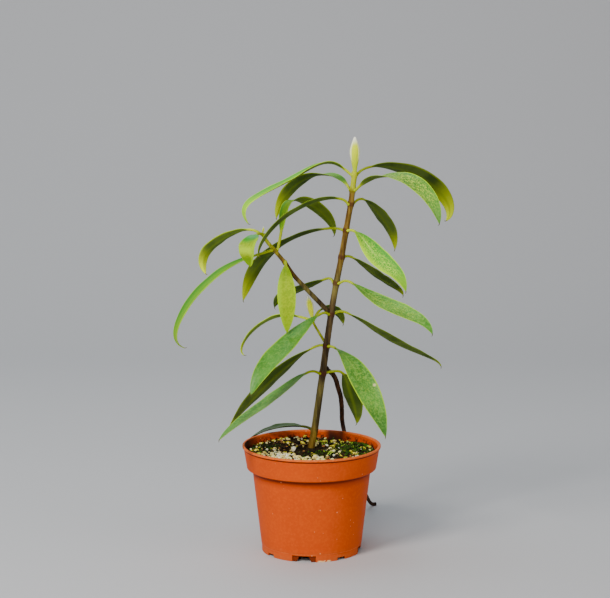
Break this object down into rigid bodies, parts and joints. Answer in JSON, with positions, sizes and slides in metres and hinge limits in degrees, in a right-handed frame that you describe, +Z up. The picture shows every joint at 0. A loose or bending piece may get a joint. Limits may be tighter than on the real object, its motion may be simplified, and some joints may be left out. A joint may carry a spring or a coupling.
{
  "type": "potted clusia plant",
  "caption": "Young clusia plant with arching leathery leaves, a side branch, a young shoot and an aerial root, standing in a terracotta-coloured plastic nursery pot filled with soil.",
  "frame": {"origin": "centre of the pot's underside, on the surface that the pot stands on", "axes": "+Z up along the plant, +X to the right in the picture, -Y towards the viewer"},
  "size_m": [0.2427, 0.2095, 0.359],
  "materials": {
    "pot_plastic": "thin terracotta-orange moulded plastic, satin, slightly dusty",
    "potting_soil": "loose dark peat and bark with white and cream perlite",
    "bark": "smooth brown bark, darker at the nodes",
    "green_stem": "smooth young green stem",
    "root_bark": "very dark brown root bark",
    "bud_skin": "pale yellow young leaf, satin",
    "leaf_skin": "leathery leaf, satin, light green above with a pale margin, olive below"
  },
  "bodies": {
    "root": {"pot": "pot_plastic", "soil": "potting_soil", "main_stem": "bark", "side_branch": "bark", "side_shoot": "green_stem", "aerial_root": "root_bark", "terminal_bud": "bud_skin", "shoot_bud": "bud_skin", "branch_bud": "bud_skin", "leaf_1_right": "leaf_skin", "leaf_1_left": "leaf_skin", "leaf_2_right": "leaf_skin", "leaf_2_left": "leaf_skin", "leaf_3_right": "leaf_skin", "leaf_3_left": "leaf_skin", "leaf_4_right": "leaf_skin", "leaf_4_left": "leaf_skin", "leaf_5_right": "leaf_skin", "leaf_6_right": "leaf_skin", "leaf_6_left": "leaf_skin", "leaf_7_right": "leaf_skin", "leaf_7_left": "leaf_skin", "leaf_8_right": "leaf_skin", "leaf_8_left": "leaf_skin", "leaf_9_left": "leaf_skin", "leaf_9_right": "leaf_skin", "leaf_10_left": "leaf_skin", "branch_leaf_front": "leaf_skin", "branch_leaf_left": "leaf_skin", "branch_leaf_long": "leaf_skin", "branch_leaf_arching": "leaf_skin", "branch_leaf_hanging": "leaf_skin", "shoot_leaf_left": "leaf_skin", "shoot_leaf_right": "leaf_skin"}
  },
  "joints": []
}
